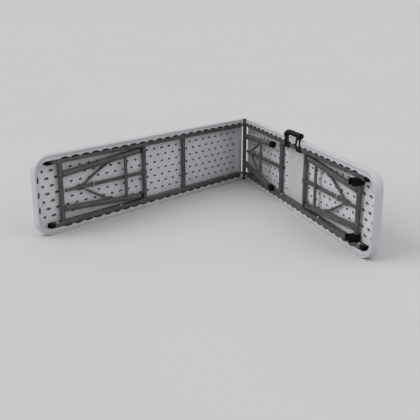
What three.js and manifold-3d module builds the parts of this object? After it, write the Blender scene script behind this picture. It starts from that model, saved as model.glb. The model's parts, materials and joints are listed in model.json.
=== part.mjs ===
// Fold-in-half bench table, stood on its long edge and opened to a V.
// Two moulded half tops with steel rails meet on a hinge axle. Each half has a folding leg set
// at its outer end, and a third leg set turns on the hinge axle itself.
// Millimetres, +Z up. The origin is the bottom centre of the bounding box.
//
// Panel coordinates, used for everything on a half: x runs from the hinge axis to the outer end,
// y across the top (0 in the middle) and z out of the underside, 0 in the parting plane in which
// the two rims meet when the table is closed. All fold, leg and brace axes run along panel y.

import * as THREE from 'three';
import { mergeVertices } from 'three/addons/utils/BufferGeometryUtils.js';
import Module from 'manifold-3d';

const wasm = await Module();
wasm.setup();

// ---- driving dimensions ----
const OPEN_ANGLE = 59.3;        // between the two undersides, degrees
const HALF_LENGTH = 1202;       // hinge axis to outer end
const WIDTH = 305;
const THICKNESS = 38;           // parting plane to top surface
const STAND_HEIGHT = 430;       // floor to top surface with the legs out
const CORNER_RADIUS = 60;       // outer corners in plan
const HINGE_CORNER_RADIUS = 8;
const RECESS_CORNER = 44;
const TOP_EDGE_RADIUS = 12;
const RIM_WIDTH = 23;           // along the long edges
const END_RIM_WIDTH = 12;
const FLOOR_THICKNESS = 9;
const RIM_GAP = 0.4;            // rim to parting plane
const HINGE_GAP = 4;            // hinge end of a half to the hinge axis
const HINGE_BORDER = 21.5;       // lowered border at the hinge end
const RIM_SETBACK = 16;         // hinge axis to the full-height rims
const HINGE_BORDER_DROP = 14.5; // parting plane to that border
const SCALLOP_PITCH = 49;
const SCALLOP_START = 14.5;     // a crest of the rim's wave, from the hinge axis
const SCALLOP_DEPTH = 5.5;
const LIP_DROP = 16;            // finger cut in the outer end rim
const LIP_WIDTH = 8;
const LIP_SPAN = 150;

const RAIL_WIDTH = 16;
const RAIL_HEIGHT = 26;
const RAIL_WALL = 1.5;
const RAIL_START = 26;
const RAIL_END = 1126;
const RAIL_SEAT = 0.3;          // rail to recess floor
const PLUG_LENGTH = 20;         // part of the end plug outside the rail
const PLUG_DEPTH = 18;          // part of it inside

const CROSSBAR_RADIUS = 9;
const CROSSBAR_DROP = 16;       // parting plane to crossbar axis
const MIDDLE_CROSSBAR_AT = 418;
const ANCHOR_CROSSBAR_AT = 657;

const PIVOT_AT = 1084;          // outer leg pivot from the hinge axis
const PIVOT_DROP = 14;
const PIVOT_RADIUS = 9.5;       // pivot tubes and hinge axle
const PIVOT_END = 12;           // pivot tube past the inner face of a rail
const LEG_RADIUS = 12;
const LEG_SPREAD_TOP = 133;     // between leg axes at the pivot
const LEG_SPREAD_FOOT = 196;
const FOOT_RADIUS = 13;
const FOOT_LENGTH = 10;         // of a foot cap's sleeve up the leg
const MIDDLE_FOOT_RADIUS = 14.5;
const MIDDLE_FOOT_LENGTH = 22;
const OUTER_BAR_AT = 316;       // leg crossbar from the pivot
const MIDDLE_BAR_AT = 256;
const LEG_BAR_RADIUS = 4.8;
const LEG_BAR_STRETCH = 1.6;    // how much wider than thick the flattened bar is
const LEG_BAR_OFFSET = 7.5;     // leg crossbar in front of the leg axes
const MIDDLE_SWING = 2;         // middle legs stand this far off their half, degrees

const OUTER_FORK_AT = 240;      // fork pin from the pivot, along the leg
const MIDDLE_FORK_AT = 222;
const FORK_DROP = 4;            // fork pin behind the leg axes
const FORK_HEIGHT = 10;
const FORK_STRAP = 3;
const FORK_TIP = 9;             // strap past the brace joint
const FORK_NECK = 22;           // straight stretch before it
const FORK_PIN_GAP = 1.2;       // strap to leg tube
const FORK_BODY = 11;           // fork arm's width between its flattened ends
const FORK_LEG_CLEAR = 8;       // from a leg tube's side to that width
const FORK_BODY_CLEAR = 22;     // from that width to the end that holds the brace
const BRACE_WIDTH = 14;
const BRACE_HEIGHT = 10;
const OUTER_BRACE_TAIL = 68;    // tube past the brace joint
const MIDDLE_BRACE_TAIL = 42;
const BRACE_CORNER = 3;
const SLEEVE_WALL = 2.5;
const RING_WIRE = 1.7;
const RING_HALF_WIDTH = 11;
const RING_HALF_HEIGHT = 8;
const RING_AT = 275;            // lock ring from the brace anchor
const MIDDLE_RING_AT = 300;

const KNUCKLE_RADIUS = 13.5;
const KNUCKLE_WIDTH = 5.8;
const KNUCKLE_REACH = 60;       // arm inside the rail
const LEFT_KNUCKLE_AT = 115.1;  // inner face from the middle of the top
const RIGHT_KNUCKLE_AT = 121.3;
const KNUCKLE_ARM_HEIGHT = 9;
const AXLE_INSET = 7;           // axle end to long edge
const AXLE_CAP_RADIUS = 11;
const AXLE_CAP_LENGTH = 5.5;

const CLIP_WIDTH = 24;
const CLIP_AT = 100.5;          // clip centre from the middle of the pivot tube
const CLIP_WALL = 4;
const CLIP_REACH = 10;          // prongs past the other half's pivot axis
const CLIP_CLEARANCE = 0.8;

const HANDLE_AT = 561;          // middle of the grip from the hinge axis
const HANDLE_STRAP = 3.5;       // thickness of the arms in the parting plane
const GRIP_RADIUS = 11;
const GRIP_STANDOFF = 23.5;     // long edge to grip axis
const GRIP_HALF = 73.5;         // middle of the handle to the disc at the grip's outer end
const ARM_OUTER = 79;           // outer end of an arm from the middle of the handle
const ARM_INNER = 24;
const ELBOW_START = 18;         // where the grip starts to bend, from the middle of the handle
const ELBOW_SIDE = 66;          // and where its bent end points straight down
const ELBOW_CLEAR = 3.2;        // between the bent end and the long edge
const ARM_STRIP = 13;           // width of the strips that frame an arm's slot
const END_DISC_RADIUS = 12;
const HOOK_LIP = 7;
const HOOK_DROP = 12;
const NOTCH_PLAY = 1.5;         // round an arm in the notches of the rims
const NOTCH_CLEAR = 0.6;        // between an arm and a notch's floor

const LABEL_LENGTH = 184;
const LABEL_WIDTH = 214;
const LABEL_THICKNESS = 0.6;
const LABEL_AT = 553;

const SCREW_RADIUS = 5.5;
const SCREW_HEIGHT = 2.4;
const SCREW_AT = 798;
const SCREW_DROP = 9;           // parting plane to screw axis, on a rail's inner face

const GAP = 0.3;                // between faces that meet
const TURN_GAP = 0.4;           // between faces that turn on each other

// ---- sizes that follow ----
const RAD = Math.PI / 180;
const X_AXIS = new THREE.Vector3(1, 0, 0);
const Y_AXIS = new THREE.Vector3(0, 1, 0);
const Z_AXIS = new THREE.Vector3(0, 0, 1);
const FLOOR_Z = FLOOR_THICKNESS - THICKNESS;
const RAIL_OUT = WIDTH / 2 - RIM_WIDTH - GAP;      // outer face of a rail
const RAIL_IN = RAIL_OUT - RAIL_WIDTH;
const RAIL_Y = (RAIL_OUT + RAIL_IN) / 2;
const RAIL_BASE = FLOOR_Z + RAIL_SEAT;
const RAIL_FRONT = RAIL_BASE + RAIL_HEIGHT;
const SLEEVE_RADIUS = CROSSBAR_RADIUS + TURN_GAP + SLEEVE_WALL;
const AXLE_HALF = WIDTH / 2 - AXLE_INSET;
const OUTER_LEG_LENGTH = STAND_HEIGHT - THICKNESS + PIVOT_DROP;
const MIDDLE_LEG_LENGTH = STAND_HEIGHT - THICKNESS;

// ---- materials ----
const material = (color, roughness, metalness) =>
  new THREE.MeshStandardMaterial({ color, roughness, metalness });
const shellPlastic = material(0xb9bcc0, 0.55, 0);
const steel = material(0x55544f, 0.45, 0.6);
const blackPlastic = material(0x121212, 0.5, 0);
const zinc = material(0xc6c6c2, 0.3, 1);
const labelPaper = material(0xe2e4e6, 0.6, 0);

// ---- helpers ----
function solid(geometry) {
  const bare = geometry.clone();
  bare.deleteAttribute('normal');
  bare.deleteAttribute('uv');
  const merged = mergeVertices(bare, 1e-4);
  return new wasm.Manifold(new wasm.Mesh({
    numProp: 3,
    vertProperties: new Float32Array(merged.attributes.position.array),
    triVerts: new Uint32Array(merged.index.array),
  }));
}

function geometryOf(manifold) {
  const { vertProperties, triVerts } = manifold.getMesh();
  const geometry = new THREE.BufferGeometry();
  geometry.setAttribute('position', new THREE.BufferAttribute(new Float32Array(vertProperties), 3));
  geometry.setIndex(new THREE.BufferAttribute(new Uint32Array(triVerts), 1));
  geometry.computeVertexNormals();
  return geometry;
}

function cut(base, ...tools) {
  return geometryOf(tools.reduce((whole, tool) => whole.subtract(solid(tool)), solid(base)));
}

function join(first, ...others) {
  return geometryOf(others.reduce((whole, piece) => whole.add(solid(piece)), solid(first)));
}

function mesh(name, geometry, look) {
  const made = new THREE.Mesh(geometry, look);
  made.name = name;
  return made;
}

// The points of a closed outline, without the doubled ones where its stretches meet.
function outlinePoints(shape, segments) {
  const points = shape.getPoints(segments);
  return points.filter((point, i) => point.distanceTo(points[(i + 1) % points.length]) > 1e-4);
}

function extruded(shape, depth, segments = 10) {
  const outline = new THREE.Shape(outlinePoints(shape, segments));
  return new THREE.ExtrudeGeometry(outline, { depth, bevelEnabled: false });
}

// Extruded along x, from a shape drawn in y and z.
function extrudedAlongX(shape, depth, segments) {
  const turn = new THREE.Matrix4().makeBasis(Y_AXIS, Z_AXIS, X_AXIS);
  return extruded(shape, depth, segments).applyMatrix4(turn);
}

// A box between two corners.
function block(x0, x1, y0, y1, z0, z1) {
  return new THREE.BoxGeometry(x1 - x0, y1 - y0, z1 - z0)
    .translate((x0 + x1) / 2, (y0 + y1) / 2, (z0 + z1) / 2);
}

// A rod along y.
function rodAcross(x, z, radius, y0, y1, sides = 24) {
  return new THREE.CylinderGeometry(radius, radius, y1 - y0, sides).translate(x, (y0 + y1) / 2, z);
}

// A rod between two points.
function rodBetween(from, to, radius, sides = 24) {
  const along = new THREE.Vector3().subVectors(to, from);
  const geometry = new THREE.CylinderGeometry(radius, radius, along.length(), sides);
  const turn = new THREE.Quaternion().setFromUnitVectors(Y_AXIS, along.clone().normalize());
  return geometry.applyQuaternion(turn)
    .translate((from.x + to.x) / 2, (from.y + to.y) / 2, (from.z + to.z) / 2);
}

// A shape drawn in x and z, made into a plate between y0 and y1.
function plateAcross(shape, y0, y1) {
  return extruded(shape, y1 - y0).rotateX(Math.PI / 2).translate(0, y1, 0);
}

function roundedOutline(x0, x1, halfWidth, radiusStart, radiusEnd) {
  const shape = new THREE.Shape();
  shape.moveTo(x0 + radiusStart, -halfWidth);
  shape.lineTo(x1 - radiusEnd, -halfWidth);
  shape.absarc(x1 - radiusEnd, -halfWidth + radiusEnd, radiusEnd, -Math.PI / 2, 0, false);
  shape.lineTo(x1, halfWidth - radiusEnd);
  shape.absarc(x1 - radiusEnd, halfWidth - radiusEnd, radiusEnd, 0, Math.PI / 2, false);
  shape.lineTo(x0 + radiusStart, halfWidth);
  shape.absarc(x0 + radiusStart, halfWidth - radiusStart, radiusStart, Math.PI / 2, Math.PI, false);
  shape.lineTo(x0, -halfWidth + radiusStart);
  shape.absarc(x0 + radiusStart, -halfWidth + radiusStart, radiusStart, Math.PI, Math.PI * 1.5, false);
  return shape;
}

// A closed skin over outlines stacked along z: each layer is [z, points], with as many points.
function stackOutlines(layers) {
  const count = layers[0][1].length;
  const position = layers.flatMap(([z, points]) => points.flatMap((point) => [point.x, point.y, z]));
  const cap = THREE.ShapeUtils.triangulateShape(layers[0][1], []);
  const last = (layers.length - 1) * count;
  const index = cap.flatMap(([a, b, c]) => [a, c, b]);
  cap.forEach(([a, b, c]) => index.push(last + a, last + b, last + c));
  for (let layer = 0; layer < layers.length - 1; layer++) {
    for (let i = 0; i < count; i++) {
      const here = layer * count + i;
      const next = layer * count + (i + 1) % count;
      index.push(here, next, next + count, here, next + count, here + count);
    }
  }
  const geometry = new THREE.BufferGeometry();
  geometry.setAttribute('position', new THREE.Float32BufferAttribute(position, 3));
  geometry.setIndex(index);
  return geometry;
}

// ---- half top: a moulded tray with a scalloped inner rim ----
function recessOutline() {
  const start = HINGE_GAP + HINGE_BORDER;
  const end = HALF_LENGTH - END_RIM_WIDTH;
  const side = WIDTH / 2 - RIM_WIDTH;
  const waveEnd = end - RECESS_CORNER - SCALLOP_PITCH;
  const waves = Math.floor((waveEnd - RAIL_START) / SCALLOP_PITCH);
  const stepsPerWave = 6;
  const wave = [];
  for (let i = 0; i <= waves * stepsPerWave; i++) {
    const x = RAIL_START + (i / stepsPerWave) * SCALLOP_PITCH;
    const phase = (x - SCALLOP_START) / SCALLOP_PITCH * 2 * Math.PI;
    wave.push([x, side + SCALLOP_DEPTH * (1 - Math.cos(phase)) / 2]);
  }
  const shape = new THREE.Shape();
  shape.moveTo(start, -side);
  wave.forEach(([x, y]) => shape.lineTo(x, -y));
  shape.lineTo(end - RECESS_CORNER, -side);
  shape.absarc(end - RECESS_CORNER, -side + RECESS_CORNER, RECESS_CORNER, -Math.PI / 2, 0, false);
  shape.lineTo(end, side - RECESS_CORNER);
  shape.absarc(end - RECESS_CORNER, side - RECESS_CORNER, RECESS_CORNER, 0, Math.PI / 2, false);
  wave.reverse().forEach(([x, y]) => shape.lineTo(x, y));
  shape.lineTo(start, side);
  return shape;
}

function halfTopGeometry() {
  const steps = 5;
  const layers = [];
  for (let i = 0; i <= steps; i++) {
    const turn = (i / steps) * Math.PI / 2;
    const inset = TOP_EDGE_RADIUS * (1 - Math.sin(turn));
    const outline = roundedOutline(HINGE_GAP + inset, HALF_LENGTH - inset, WIDTH / 2 - inset,
      Math.max(HINGE_CORNER_RADIUS - inset, 1), CORNER_RADIUS - inset);
    layers.push([TOP_EDGE_RADIUS * (1 - Math.cos(turn)) - THICKNESS, outlinePoints(outline, 5)]);
  }
  layers.push([-RIM_GAP, layers[steps][1]]);
  const body = stackOutlines(layers);
  const past = THICKNESS;
  const recess = extruded(recessOutline(), past, 5).translate(0, 0, FLOOR_Z);
  const axleNotch = block(-past, RIM_SETBACK, -WIDTH, WIDTH, -HINGE_BORDER_DROP, past);
  const inner = WIDTH / 2 - RIM_WIDTH;
  const borderDrop = block(-past, HINGE_GAP + HINGE_BORDER + 1, -inner, inner, -HINGE_BORDER_DROP, past);
  const end = HALF_LENGTH - END_RIM_WIDTH;
  const lip = block(end - 1, end + LIP_WIDTH, -LIP_SPAN / 2, LIP_SPAN / 2, -LIP_DROP, past);
  const notches = [-1, 1].map((arm) => {
    const near = HANDLE_AT + arm * (ARM_INNER - NOTCH_PLAY);
    const far = HANDLE_AT + arm * (ARM_OUTER + NOTCH_PLAY);
    const depth = HANDLE_STRAP / 2 + NOTCH_CLEAR;
    return block(Math.min(near, far), Math.max(near, far), -WIDTH, WIDTH, -depth, past);
  });
  return cut(body, recess, axleNotch, borderDrop, lip, ...notches);
}

// ---- steel under a half ----
// side is 1 for the long edge at +y and -1 for the one at -y.
const between = (side, near, far) => side > 0 ? [near, far] : [-far, -near];

function railGeometry(side) {
  const outer = block(RAIL_START, RAIL_END, ...between(side, RAIL_IN, RAIL_OUT), RAIL_BASE, RAIL_FRONT);
  const hollow = block(RAIL_START - 1, RAIL_END + 1,
    ...between(side, RAIL_IN + RAIL_WALL, RAIL_OUT - RAIL_WALL),
    RAIL_BASE + RAIL_WALL, RAIL_FRONT - RAIL_WALL);
  const pivotHole = rodAcross(PIVOT_AT, -PIVOT_DROP, PIVOT_RADIUS + TURN_GAP,
    ...between(side, RAIL_IN - 1, RAIL_IN + RAIL_WALL + 1));
  return cut(outer, hollow, pivotHole);
}

function railPlugGeometry(side) {
  const inset = RAIL_WALL + GAP;
  const tongue = block(RAIL_END - PLUG_DEPTH, RAIL_END + GAP + 1,
    ...between(side, RAIL_IN + inset, RAIL_OUT - inset), RAIL_BASE + inset, RAIL_FRONT - inset);
  const head = block(RAIL_END + GAP, RAIL_END + PLUG_LENGTH,
    ...between(side, RAIL_IN, RAIL_OUT), RAIL_BASE, RAIL_FRONT);
  return join(tongue, head);
}

function crossbarGeometry(x) {
  return rodAcross(x, -CROSSBAR_DROP, CROSSBAR_RADIUS, GAP - RAIL_IN, RAIL_IN - GAP);
}

// A ring on the hinge axle with an arm that reaches into the rail. The two halves' rings sit
// side by side, so each half has its own distance from the middle.
function knuckleGeometry(side, near) {
  const [y0, y1] = between(side, near, near + KNUCKLE_WIDTH);
  const eye = new THREE.Shape();
  eye.absarc(0, 0, KNUCKLE_RADIUS, 0, 2 * Math.PI, false);
  const armTop = RAIL_FRONT - RAIL_WALL - TURN_GAP;
  const arm = block(0, RAIL_START + KNUCKLE_REACH, y0, y1, armTop - KNUCKLE_ARM_HEIGHT, armTop);
  const bore = rodAcross(0, 0, PIVOT_RADIUS + TURN_GAP, y0 - 1, y1 + 1);
  return cut(join(plateAcross(eye, y0, y1), arm), bore);
}

// A screw head on the inner face of a rail.
function screwGeometry(x, side) {
  const profile = [new THREE.Vector2(0, 0)];
  const steps = 4;
  for (let i = 0; i < steps; i++) {
    const turn = (i / steps) * Math.PI / 2;
    profile.push(new THREE.Vector2(SCREW_RADIUS * Math.cos(turn), SCREW_HEIGHT * Math.sin(turn)));
  }
  profile.push(new THREE.Vector2(0, SCREW_HEIGHT));
  return new THREE.LatheGeometry(profile, 14).rotateX(side > 0 ? Math.PI : 0)
    .translate(x, side * (RAIL_IN - GAP), -SCREW_DROP);
}

function halfGroup(name, upperSide, knuckleNear) {
  const group = new THREE.Group();
  group.add(mesh(`${name}_tabletop`, halfTopGeometry(), shellPlastic));
  group.add(mesh(`${name}_middle_crossbar`, crossbarGeometry(MIDDLE_CROSSBAR_AT), steel));
  group.add(mesh(`${name}_anchor_crossbar`, crossbarGeometry(ANCHOR_CROSSBAR_AT), steel));
  for (const [place, side] of [['upper', upperSide], ['lower', -upperSide]]) {
    group.add(mesh(`${name}_rail_${place}`, railGeometry(side), steel));
    group.add(mesh(`${name}_rail_plug_${place}`, railPlugGeometry(side), blackPlastic));
    group.add(mesh(`${name}_hinge_knuckle_${place}`, knuckleGeometry(side, knuckleNear), steel));
    group.add(mesh(`${name}_rail_screw_${place}`, screwGeometry(SCREW_AT, side), zinc));
  }
  return group;
}

// ---- leg sets, in leg coordinates: x down the legs from the pivot, z to their front ----
const legY = (x, length) =>
  (LEG_SPREAD_TOP + (LEG_SPREAD_FOOT - LEG_SPREAD_TOP) * x / length) / 2;

function legRod(side, x0, x1, length, radius) {
  return rodBetween(new THREE.Vector3(x0, side * legY(x0, length), 0),
    new THREE.Vector3(x1, side * legY(x1, length), 0), radius);
}

function legGroup(name, { length, barAt, pivotHalf, foot }, upperSide) {
  const group = new THREE.Group();
  const pivotBore = rodAcross(0, 0, PIVOT_RADIUS + GAP, -WIDTH, WIDTH);
  group.add(mesh(`${name}_pivot_tube`, rodAcross(0, 0, PIVOT_RADIUS, -pivotHalf, pivotHalf), steel));
  for (const [place, side] of [['upper', upperSide], ['lower', -upperSide]]) {
    const tube = cut(legRod(side, 0, length - foot.length, length, LEG_RADIUS), pivotBore,
      block(-PIVOT_RADIUS * 2, 0, -WIDTH, WIDTH, -LEG_RADIUS * 2, LEG_RADIUS * 2));
    group.add(mesh(`${name}_tube_${place}`, tube, steel));
    const cap = cut(legRod(side, length - foot.length + GAP, length + foot.radius, length, foot.radius),
      block(length, length + foot.radius * 3, -WIDTH, WIDTH, -WIDTH, WIDTH));
    group.add(mesh(`${name}_foot_cap_${place}`, cap, blackPlastic));
  }
  const reach = legY(barAt, length) - LEG_BAR_RADIUS;
  const barRod = rodAcross(0, LEG_BAR_OFFSET, LEG_BAR_RADIUS, -reach, reach, 16)
    .scale(LEG_BAR_STRETCH, 1, 1).translate(barAt, 0, 0);
  const bar = cut(barRod,
    legRod(1, 0, length, length, LEG_RADIUS + GAP), legRod(-1, 0, length, length, LEG_RADIUS + GAP));
  group.add(mesh(`${name}_crossbar`, bar, steel));
  return group;
}

// A clip on the right leg's pivot tube that takes hold of the left one when the table is closed.
function clipGeometry(middle) {
  const mouth = PIVOT_RADIUS + CLIP_CLEARANCE;
  const cheek = mouth + CLIP_WALL;
  const otherAxis = 2 * PIVOT_DROP;
  const shape = new THREE.Shape();
  shape.absarc(0, 0, cheek, Math.PI, 2 * Math.PI, false);
  shape.lineTo(cheek, otherAxis + CLIP_REACH);
  shape.lineTo(mouth, otherAxis + CLIP_REACH);
  shape.lineTo(mouth, otherAxis);
  shape.absarc(0, otherAxis, mouth, 0, -Math.PI, true);
  shape.lineTo(-mouth, otherAxis + CLIP_REACH);
  shape.lineTo(-cheek, otherAxis + CLIP_REACH);
  shape.lineTo(-cheek, 0);
  const y0 = middle - CLIP_WIDTH / 2;
  const y1 = middle + CLIP_WIDTH / 2;
  return cut(plateAcross(shape, y0, y1), rodAcross(0, 0, PIVOT_RADIUS + GAP, y0 - 1, y1 + 1));
}

function axleCapGeometry(side) {
  const start = AXLE_HALF + GAP;
  return rodAcross(0, 0, AXLE_CAP_RADIUS, ...between(side, start, start + AXLE_CAP_LENGTH));
}

// ---- folding braces ----
// A fork and a tube join the legs to a crossbar. Their lengths follow from the fork pin and the
// anchor: the two lie on one line when the legs are folded and again when they stand square.
function braceLink(pivot, heading, pinAt, anchor, angle) {
  const pinPlace = (turn) => new THREE.Vector2(
    pivot.x + heading * (pinAt * Math.cos(turn) + FORK_DROP * Math.sin(turn)),
    pivot.y + pinAt * Math.sin(turn) - FORK_DROP * Math.cos(turn));
  const near = pinPlace(0).distanceTo(anchor);
  const far = pinPlace(Math.PI / 2).distanceTo(anchor);
  const braceLength = (far + near) / 2;
  const forkLength = (far - near) / 2;
  const pin = pinPlace(angle);
  const reach = pin.distanceTo(anchor);
  const cosine = (braceLength ** 2 + reach ** 2 - forkLength ** 2) / (2 * braceLength * reach);
  const toPin = pin.clone().sub(anchor).angle();
  const braceAngle = toPin + heading * Math.acos(Math.min(1, cosine));
  const brace = new THREE.Vector2(braceLength, 0).rotateAround(new THREE.Vector2(), braceAngle);
  const joint = anchor.clone().add(brace);
  return { pin, braceLength, forkLength, braceAngle, forkAngle: joint.sub(pin).angle() };
}

function forkStrapGeometry(side, forkLength, legSide) {
  const atLeg = legSide - FORK_PIN_GAP - FORK_STRAP;
  const atBrace = BRACE_WIDTH / 2 + TURN_GAP;
  const end = forkLength + FORK_TIP;
  const neck = forkLength - FORK_NECK;
  const slope = (atLeg - atBrace) / (neck - FORK_TIP);
  const bodyEnd = neck - FORK_BODY_CLEAR;
  const innerEdge = (x) => atLeg - slope * (x - FORK_TIP);
  const bodyStart = FORK_TIP + (FORK_BODY - FORK_STRAP) / slope + FORK_LEG_CLEAR;
  const shape = new THREE.Shape([[-FORK_TIP, atLeg], [FORK_TIP, atLeg], [neck, atBrace], [end, atBrace],
    [end, atBrace + FORK_STRAP], [neck + 1, atBrace + FORK_STRAP],
    [bodyEnd, innerEdge(bodyEnd) + FORK_BODY], [bodyStart, innerEdge(bodyStart) + FORK_BODY],
    [FORK_TIP, atLeg + FORK_STRAP], [-FORK_TIP, atLeg + FORK_STRAP]]
    .map(([x, y]) => new THREE.Vector2(x, side * y)));
  return extruded(shape, FORK_HEIGHT).translate(0, 0, -FORK_HEIGHT / 2);
}

function braceGeometry(braceLength, tail) {
  const section = new THREE.Shape();
  const w = BRACE_WIDTH / 2 - BRACE_CORNER;
  const h = BRACE_HEIGHT / 2 - BRACE_CORNER;
  section.absarc(w, h, BRACE_CORNER, 0, Math.PI / 2, false);
  section.absarc(-w, h, BRACE_CORNER, Math.PI / 2, Math.PI, false);
  section.absarc(-w, -h, BRACE_CORNER, Math.PI, Math.PI * 1.5, false);
  section.absarc(w, -h, BRACE_CORNER, Math.PI * 1.5, Math.PI * 2, false);
  const tube = extrudedAlongX(section, braceLength + tail, 2);
  const sleeve = rodAcross(0, 0, SLEEVE_RADIUS, -BRACE_WIDTH / 2, BRACE_WIDTH / 2);
  return cut(join(tube, sleeve), rodAcross(0, 0, CROSSBAR_RADIUS + TURN_GAP, -BRACE_WIDTH, BRACE_WIDTH));
}

function ringGeometry(at) {
  return new THREE.TorusGeometry(RING_HALF_WIDTH, RING_WIRE, 8, 28)
    .applyMatrix4(new THREE.Matrix4().makeBasis(Y_AXIS, Z_AXIS, X_AXIS))
    .scale(1, 1, RING_HALF_HEIGHT / RING_HALF_WIDTH).translate(at, 0, 0);
}

// One leg set with its fork, brace and lock ring. heading is the way that the folded legs point.
function legSet(name, leg, heading, pivot, anchorAt, swing, upperSide) {
  const group = new THREE.Group();
  const legs = legGroup(`${name}_leg`, leg, upperSide * heading);
  leg.extras.forEach((extra) => legs.add(extra));
  legs.rotation.z = heading > 0 ? 0 : Math.PI;
  const legTurn = new THREE.Group();
  legTurn.add(legs);
  legTurn.position.set(pivot.x, 0, pivot.y);
  legTurn.rotation.y = -heading * swing;
  const anchor = new THREE.Vector2(anchorAt, -CROSSBAR_DROP);
  const link = braceLink(pivot, heading, leg.forkAt, anchor, swing);
  const fork = new THREE.Group();
  const legSide = legY(leg.forkAt, leg.length) - LEG_RADIUS;
  for (const [place, side] of [['upper', upperSide], ['lower', -upperSide]]) {
    fork.add(mesh(`${name}_fork_strap_${place}`, forkStrapGeometry(side, link.forkLength, legSide), steel));
  }
  fork.position.set(link.pin.x, 0, link.pin.y);
  fork.rotation.y = -link.forkAngle;
  const brace = new THREE.Group();
  brace.add(mesh(`${name}_brace_tube`, braceGeometry(link.braceLength, leg.tail), steel));
  brace.add(mesh(`${name}_lock_ring`, ringGeometry(leg.ringAt), zinc));
  brace.position.set(anchor.x, 0, anchor.y);
  brace.rotation.y = -link.braceAngle;
  group.add(legTurn, fork, brace);
  return group;
}

// ---- carry handle on the right half's upper rail ----
// A round bar along a curve in the parting plane, closed at both ends.
function bentBar(curve, radius, steps, sides) {
  const rings = [];
  for (let i = 0; i <= steps; i++) {
    const at = curve.getPoint(i / steps);
    const along = curve.getTangent(i / steps);
    for (let k = 0; k < sides; k++) {
      const turn = (k / sides) * 2 * Math.PI;
      const out = radius * Math.cos(turn);
      rings.push(at.x - along.y * out, at.y + along.x * out, radius * Math.sin(turn));
    }
  }
  const index = [];
  for (let i = 0; i < steps; i++) {
    for (let k = 0; k < sides; k++) {
      const here = i * sides + k;
      const next = i * sides + (k + 1) % sides;
      index.push(here, next, next + sides, here, next + sides, here + sides);
    }
  }
  const last = steps * sides;
  for (let k = 1; k < sides - 1; k++) {
    index.push(0, k + 1, k, last, last + k, last + k + 1);
  }
  const geometry = new THREE.BufferGeometry();
  geometry.setAttribute('position', new THREE.Float32BufferAttribute(rings, 3));
  geometry.setIndex(index);
  return geometry;
}

// An arm is a slotted plate in the parting plane that hooks round the rail. The outer one ends in
// a disc that holds the grip's end and the inner one in an elbow. end is 1 for the outer arm and
// -1 for the inner one.
function handleArmGeometry(end) {
  const edge = WIDTH / 2;
  const grip = edge + GRIP_STANDOFF;
  const lipOut = RAIL_IN - 2 * GAP;
  const underGrip = grip - GRIP_RADIUS - GAP;
  const discIn = GRIP_HALF + GAP;
  const waist = ARM_INNER + ARM_STRIP;
  const corners = (points) => points.map(([x, y]) => new THREE.Vector2(end * x, y));
  const top = end > 0 ? [[ARM_OUTER, grip], [discIn, grip], [discIn, underGrip]]
    : [[ARM_OUTER, edge], [ELBOW_SIDE, underGrip]];
  const shape = new THREE.Shape(corners([[waist, lipOut - HOOK_LIP], [ARM_OUTER, lipOut - HOOK_LIP],
    ...top, [waist + ARM_STRIP / 2, underGrip],
    [ARM_INNER + ARM_STRIP / 2, edge], [ARM_INNER, RAIL_OUT], [ARM_INNER + ARM_STRIP / 2, RAIL_Y]]));
  shape.holes.push(new THREE.Path(corners([[waist + ARM_STRIP / 2, RAIL_Y], [waist, RAIL_OUT],
    [waist + ARM_STRIP / 2, edge], [ARM_OUTER - ARM_STRIP, edge], [ARM_OUTER - ARM_STRIP, RAIL_Y]])));
  const plate = new THREE.ExtrudeGeometry(shape, { depth: HANDLE_STRAP, bevelEnabled: false })
    .translate(0, 0, -HANDLE_STRAP / 2);
  const lip = block(...between(end, waist, ARM_OUTER), lipOut - HOOK_LIP, lipOut, -HOOK_DROP, 0);
  const disc = rodBetween(new THREE.Vector3(discIn, grip, 0),
    new THREE.Vector3(ARM_OUTER, grip, 0), END_DISC_RADIUS);
  const bend = new THREE.QuadraticBezierCurve(new THREE.Vector2(-ELBOW_START - GAP, grip),
    new THREE.Vector2(-ELBOW_SIDE, grip), new THREE.Vector2(-ELBOW_SIDE, edge + ELBOW_CLEAR));
  const elbow = bentBar(bend, GRIP_RADIUS, 10, 24);
  return join(plate, lip, end > 0 ? disc : elbow).translate(HANDLE_AT, 0, 0);
}

function handleGroup() {
  const group = new THREE.Group();
  group.add(mesh('handle_arm_inner', handleArmGeometry(-1), blackPlastic));
  group.add(mesh('handle_arm_outer', handleArmGeometry(1), blackPlastic));
  const grip = rodBetween(new THREE.Vector3(HANDLE_AT - ELBOW_START, WIDTH / 2 + GRIP_STANDOFF, 0),
    new THREE.Vector3(HANDLE_AT + GRIP_HALF, WIDTH / 2 + GRIP_STANDOFF, 0), GRIP_RADIUS);
  group.add(mesh('handle_grip', grip, blackPlastic));
  return group;
}

// ---- the table ----
// A half's panel coordinates stood on edge: way is 1 for the right half and -1 for the left one.
function stood(way, ...children) {
  const onEdge = new THREE.Group();
  onEdge.add(...children);
  onEdge.rotation.x = way * Math.PI / 2;
  const opened = new THREE.Group();
  opened.add(onEdge);
  opened.rotation.z = -Math.PI / 2 + way * OPEN_ANGLE / 2 * RAD;
  return opened;
}

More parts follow.
